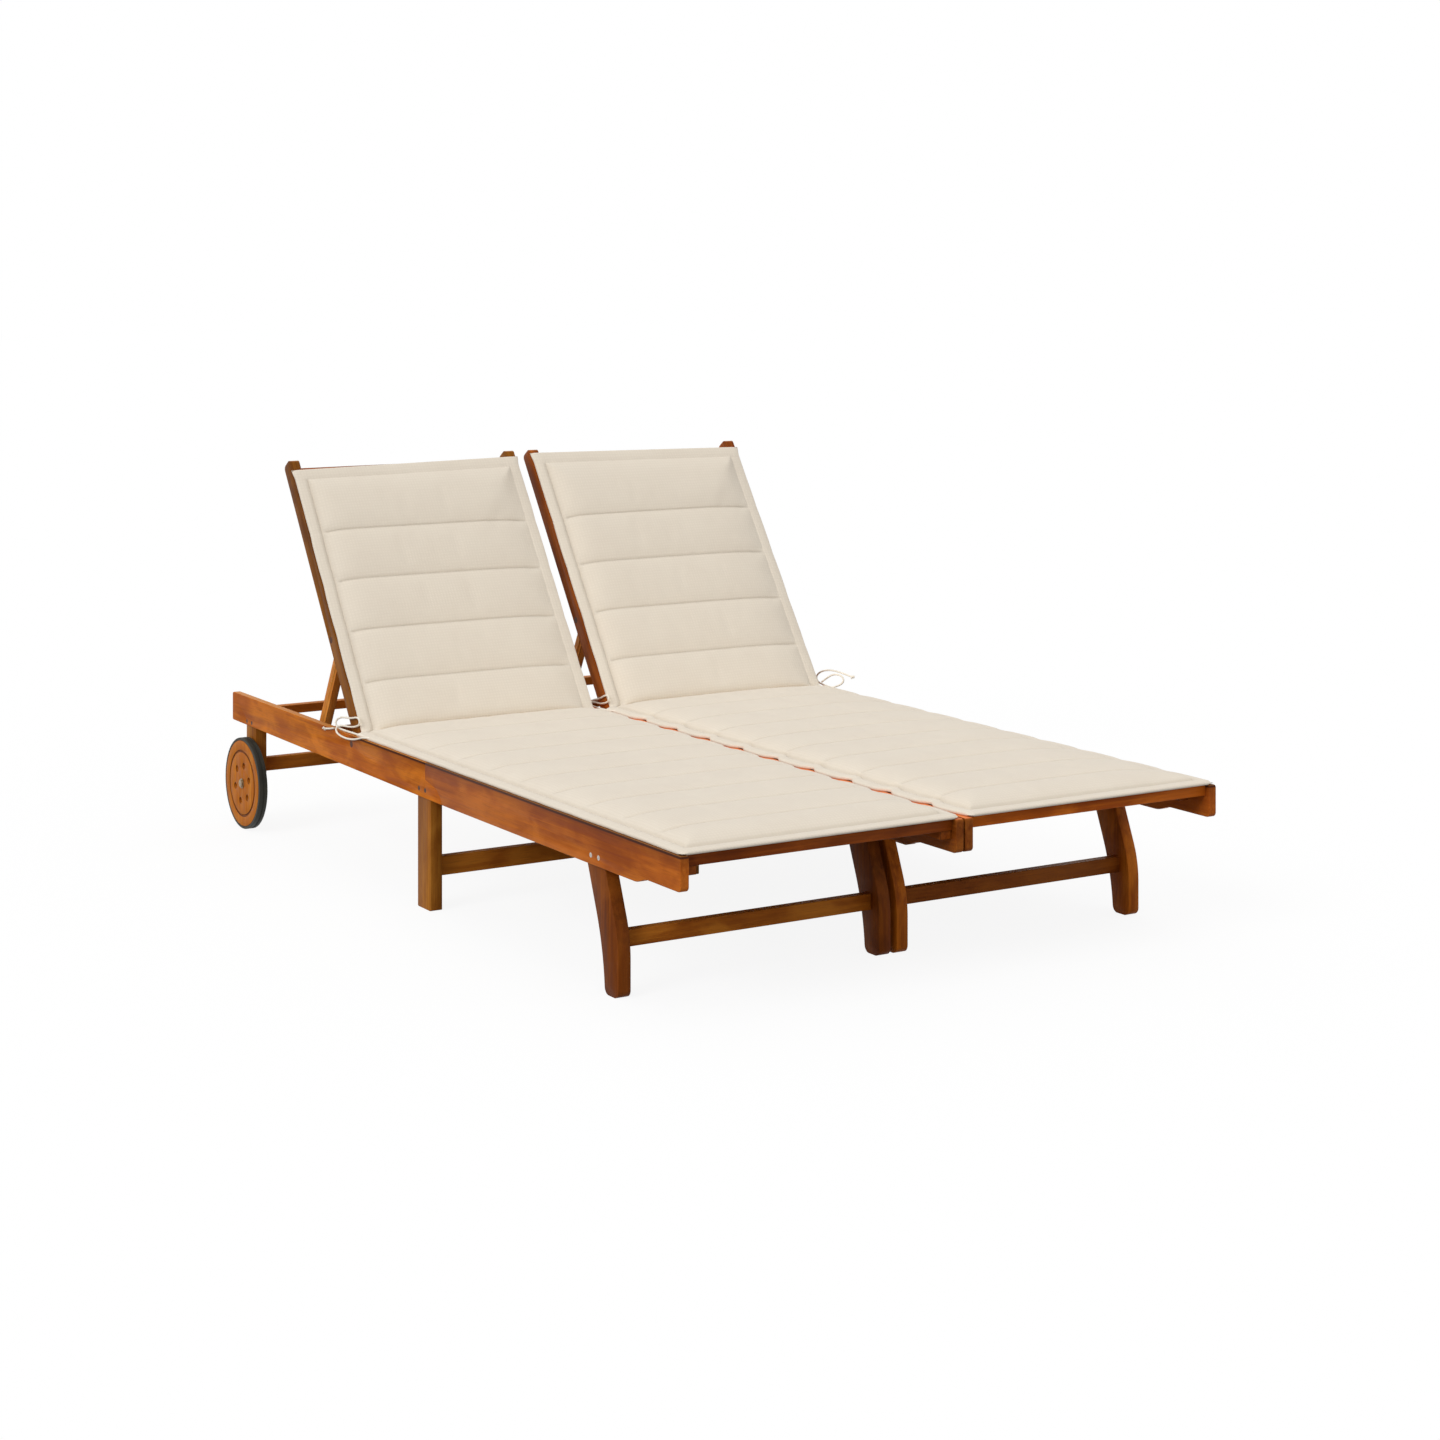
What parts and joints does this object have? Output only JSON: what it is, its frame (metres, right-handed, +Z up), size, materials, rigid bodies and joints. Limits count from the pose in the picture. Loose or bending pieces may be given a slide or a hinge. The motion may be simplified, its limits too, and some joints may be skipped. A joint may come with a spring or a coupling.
{
  "type": "double chaise lounger",
  "caption": "Twin wooden sun lounger with quilted cushions, separately adjustable slatted backrests on folding props, and transport wheels at the head end.",
  "frame": {"origin": "on the ground under the middle of the lounger's plan", "axes": "+X across to the right-hand lounger, +Y from the foot end to the head end, +Z up"},
  "size_m": [1.2296, 2, 0.8375],
  "materials": {
    "rail_wood": "oiled acacia",
    "leg_wood": "oiled acacia, darker boards",
    "slat_wood": "oiled acacia",
    "back_wood": "oiled acacia",
    "prop_wood": "oiled acacia",
    "wheel_wood": "oiled acacia, turned",
    "tyre": "matte black",
    "steel": "zinc plated",
    "cushion": "woven beige canvas, sewn across",
    "tie": "off-white tape"
  },
  "bodies": {
    "frame": {"left_outer_front_rail": "rail_wood", "left_outer_rear_rail": "rail_wood", "left_outer_front_leg": "leg_wood", "left_outer_mid_leg": "leg_wood", "left_outer_head_leg": "leg_wood", "left_inner_front_rail": "rail_wood", "left_inner_rear_rail": "rail_wood", "left_inner_front_leg": "leg_wood", "left_inner_mid_leg": "leg_wood", "left_inner_head_leg": "leg_wood", "left_front_stretcher": "leg_wood", "left_mid_stretcher": "leg_wood", "left_head_stretcher": "leg_wood", "left_foot_bar": "slat_wood", "left_head_rest_bar": "slat_wood", "left_seat_slats": "slat_wood", "left_seat_pad": "cushion", "right_outer_front_rail": "rail_wood", "right_outer_rear_rail": "rail_wood", "right_outer_front_leg": "leg_wood", "right_outer_mid_leg": "leg_wood", "right_outer_head_leg": "leg_wood", "right_inner_front_rail": "rail_wood", "right_inner_rear_rail": "rail_wood", "right_inner_front_leg": "leg_wood", "right_inner_mid_leg": "leg_wood", "right_inner_head_leg": "leg_wood", "right_front_stretcher": "leg_wood", "right_mid_stretcher": "leg_wood", "right_head_stretcher": "leg_wood", "right_foot_bar": "slat_wood", "right_head_rest_bar": "slat_wood", "right_seat_slats": "slat_wood", "right_seat_pad": "cushion", "seat_ledgers": "slat_wood", "prop_racks": "slat_wood", "wheel_axles": "steel", "frame_screws": "steel", "frame_bolts": "steel", "left_outer_tie": "tie", "right_inner_tie": "tie", "right_outer_tie": "tie"},
    "left_backrest": {"left_outer_stile": "back_wood", "left_inner_stile": "back_wood", "left_back_slats": "slat_wood", "left_back_pad": "cushion", "left_prop_bolts": "steel"},
    "left_prop": {"left_prop_arms": "prop_wood", "left_prop_bar": "prop_wood"},
    "left_wheel": {"left_wheel_disc": "wheel_wood", "left_tyre": "tyre"},
    "right_backrest": {"right_outer_stile": "back_wood", "right_inner_stile": "back_wood", "right_back_slats": "slat_wood", "right_back_pad": "cushion", "right_prop_bolts": "steel"},
    "right_prop": {"right_prop_arms": "prop_wood", "right_prop_bar": "prop_wood"},
    "right_wheel": {"right_wheel_disc": "wheel_wood", "right_tyre": "tyre"}
  },
  "joints": [
    {"name": "left_backrest_hinge", "type": "hinge", "parent": "frame", "child": "left_backrest", "pos_m": [-0.297, 0.342, 0.274], "axis": [-1, 0, 0], "range_deg": [0, 55.2]},
    {"name": "left_prop_hinge", "type": "hinge", "parent": "left_backrest", "child": "left_prop", "pos_m": [-0.297, 0.48868, 0.47103], "axis": [1, 0, 0], "range_deg": [0, 113.1]},
    {"name": "left_wheel_spin", "type": "hinge", "parent": "frame", "child": "left_wheel", "pos_m": [-0.6, 0.898, 0.1015], "axis": [1, 0, 0], "continuous": true},
    {"name": "right_backrest_hinge", "type": "hinge", "parent": "frame", "child": "right_backrest", "pos_m": [0.297, 0.342, 0.274], "axis": [-1, 0, 0], "range_deg": [0, 55.2]},
    {"name": "right_prop_hinge", "type": "hinge", "parent": "right_backrest", "child": "right_prop", "pos_m": [0.297, 0.48868, 0.47103], "axis": [1, 0, 0], "range_deg": [0, 113.1]},
    {"name": "right_wheel_spin", "type": "hinge", "parent": "frame", "child": "right_wheel", "pos_m": [0.6, 0.898, 0.1015], "axis": [1, 0, 0], "continuous": true}
  ],
  "couplings": [
    {"joint": "left_prop_hinge", "follows": "left_backrest_hinge", "ratio": 2.0485},
    {"joint": "right_prop_hinge", "follows": "right_backrest_hinge", "ratio": 2.0485}
  ]
}
